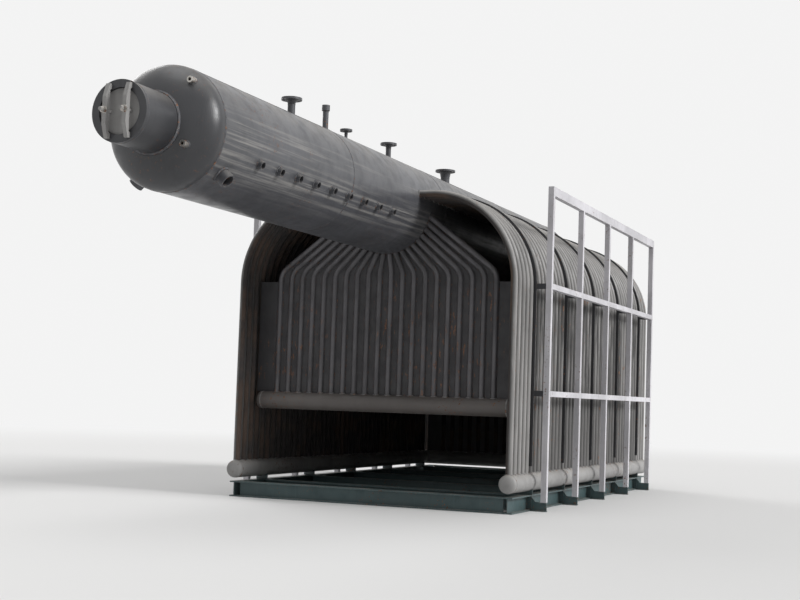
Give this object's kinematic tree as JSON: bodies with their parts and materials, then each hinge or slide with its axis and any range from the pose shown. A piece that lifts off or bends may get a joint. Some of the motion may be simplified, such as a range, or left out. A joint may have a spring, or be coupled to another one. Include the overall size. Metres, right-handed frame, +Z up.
{
  "type": "water-tube industrial boiler module",
  "caption": "Long steam drum over a loaf-shaped casing of finned tube walls, with headers, drum nozzles, side frames and a steel base frame.",
  "frame": {"origin": "middle of the base frame's underside, at the middle cross beam", "axes": "+Z up; the drum lies along X and its overhanging front end points to -X; +Y is the left side seen from behind"},
  "size_m": [9.1075, 3, 3.33],
  "materials": {
    "drum_paint": "dark grey semi-gloss shop paint, dusty",
    "tube_paint": "dark grey shop paint on finned tubes, worn to lighter metal on the crests",
    "pipe_paint": "light grey primer on headers and fittings",
    "frame_paint": "pale grey primer on the square tube frames",
    "base_paint": "dark blue-green shop paint, scuffed",
    "machined_steel": "bare turned steel with light rust"
  },
  "bodies": {
    "root": {"drum_shell": "drum_paint", "drum_front_head": "drum_paint", "drum_rear_head": "drum_paint", "manhole_neck": "drum_paint", "manhole_cover": "pipe_paint", "manhole_yokes": "pipe_paint", "manhole_nuts": "machined_steel", "top_nozzle_1": "drum_paint", "top_nozzle_2": "drum_paint", "top_nozzle_3": "drum_paint", "top_nozzle_4": "drum_paint", "main_steam_nozzle": "drum_paint", "side_nozzles": "drum_paint", "riser_stubs": "drum_paint", "gauge_sockets": "machined_steel", "side_wall_left": "tube_paint", "side_wall_right": "tube_paint", "shoulder_left": "tube_paint", "shoulder_right": "tube_paint", "front_wall": "tube_paint", "rear_wall": "tube_paint", "side_header_left": "pipe_paint", "side_header_right": "pipe_paint", "front_header": "pipe_paint", "rear_header": "pipe_paint", "header_caps": "pipe_paint", "hoops_left": "drum_paint", "hoops_right": "drum_paint", "base_beams": "base_paint", "cross_beams": "base_paint", "outriggers": "base_paint", "saddles": "base_paint", "frame_posts_left": "frame_paint", "frame_posts_right": "frame_paint", "frame_rails_left": "frame_paint", "frame_rails_right": "frame_paint", "top_rail_left": "frame_paint", "top_rail_right": "frame_paint", "brackets_left": "drum_paint", "brackets_right": "drum_paint"}
  },
  "joints": []
}
